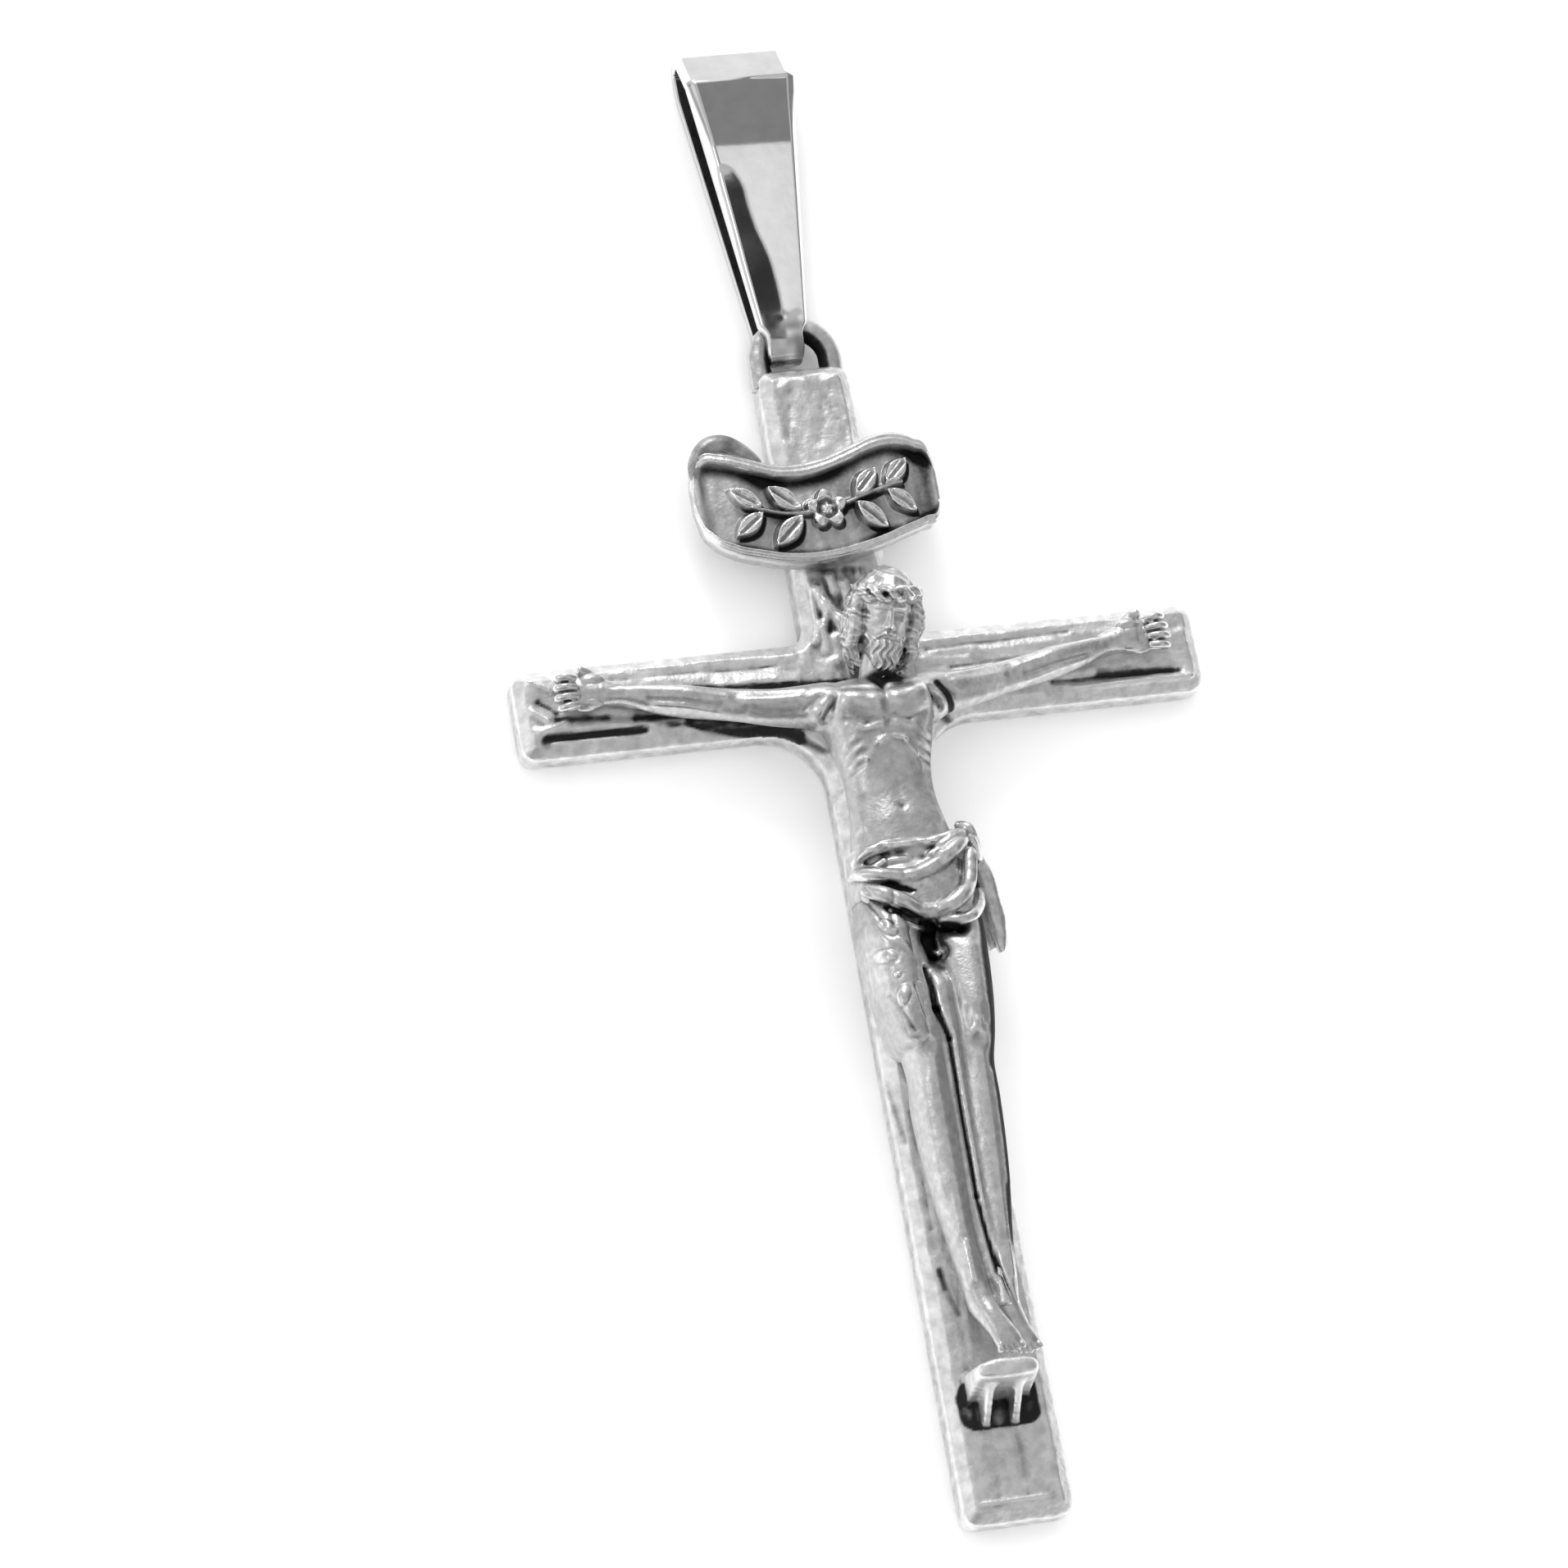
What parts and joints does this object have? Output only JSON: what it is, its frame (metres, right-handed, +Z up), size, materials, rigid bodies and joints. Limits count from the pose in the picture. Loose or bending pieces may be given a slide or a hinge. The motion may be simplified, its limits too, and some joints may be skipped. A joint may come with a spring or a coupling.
{
  "type": "crucifix pendant",
  "caption": "Cast silver crucifix pendant lying on its back, with a figure, a footrest, a curled scroll, an eye and a tapered bail.",
  "frame": {"origin": "under the middle of the whole pendant, on the surface that it lies on", "axes": "+X to the viewer's right along the crossbar, +Y up the cross towards the bail, +Z up out of the face"},
  "size_m": [0.023, 0.0504, 0.0044],
  "materials": {
    "silver": "cast and polished silver, darker in the recesses",
    "polished_silver": "smooth mirror-polished silver strap",
    "pin_silver": "plain turned silver, hidden"
  },
  "bodies": {
    "root": {"cross": "silver", "corpus": "silver", "scroll": "silver", "bail": "polished_silver", "palm_pin_left": "pin_silver", "palm_pin_right": "pin_silver", "back_pin": "pin_silver", "scroll_pin": "pin_silver"}
  },
  "joints": []
}
